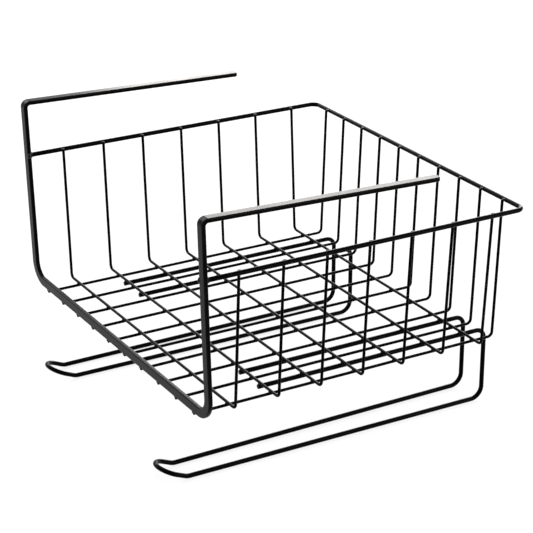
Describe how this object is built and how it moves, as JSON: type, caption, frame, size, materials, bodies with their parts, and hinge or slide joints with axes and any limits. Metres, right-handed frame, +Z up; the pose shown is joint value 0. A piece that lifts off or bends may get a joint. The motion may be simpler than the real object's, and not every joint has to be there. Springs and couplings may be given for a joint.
{
  "type": "under shelf basket",
  "caption": "Wire basket hung under a shelf by two folded flat-bar arms, open at the front, with two raised-tip wire loops underneath for a board.",
  "frame": {"origin": "centre of the bounding box's bottom face, under the basket, where the two rack loops stand on a table", "axes": "+X to the right as seen from the open front, +Y from the open front towards the back wall, +Z up"},
  "size_m": [0.316, 0.2988, 0.2274],
  "materials": {
    "bar_coat": "satin black powder coat on flat steel bar",
    "wire_coat": "satin black powder coat on round steel wire"
  },
  "bodies": {
    "root": {"hanger_frame": "bar_coat", "rim_wire": "wire_coat", "cross_wire_1": "wire_coat", "cross_wire_2": "wire_coat", "cross_wire_3": "wire_coat", "cross_wire_4": "wire_coat", "cross_wire_5": "wire_coat", "cross_wire_6": "wire_coat", "cross_wire_7": "wire_coat", "floor_wire_1": "wire_coat", "floor_wire_2": "wire_coat", "floor_wire_3": "wire_coat", "floor_wire_4": "wire_coat", "floor_wire_5": "wire_coat", "floor_wire_6": "wire_coat", "floor_wire_7": "wire_coat", "floor_wire_8": "wire_coat", "floor_wire_9": "wire_coat", "floor_wire_10": "wire_coat", "rack_wire_left": "wire_coat", "rack_wire_right": "wire_coat"}
  },
  "joints": []
}
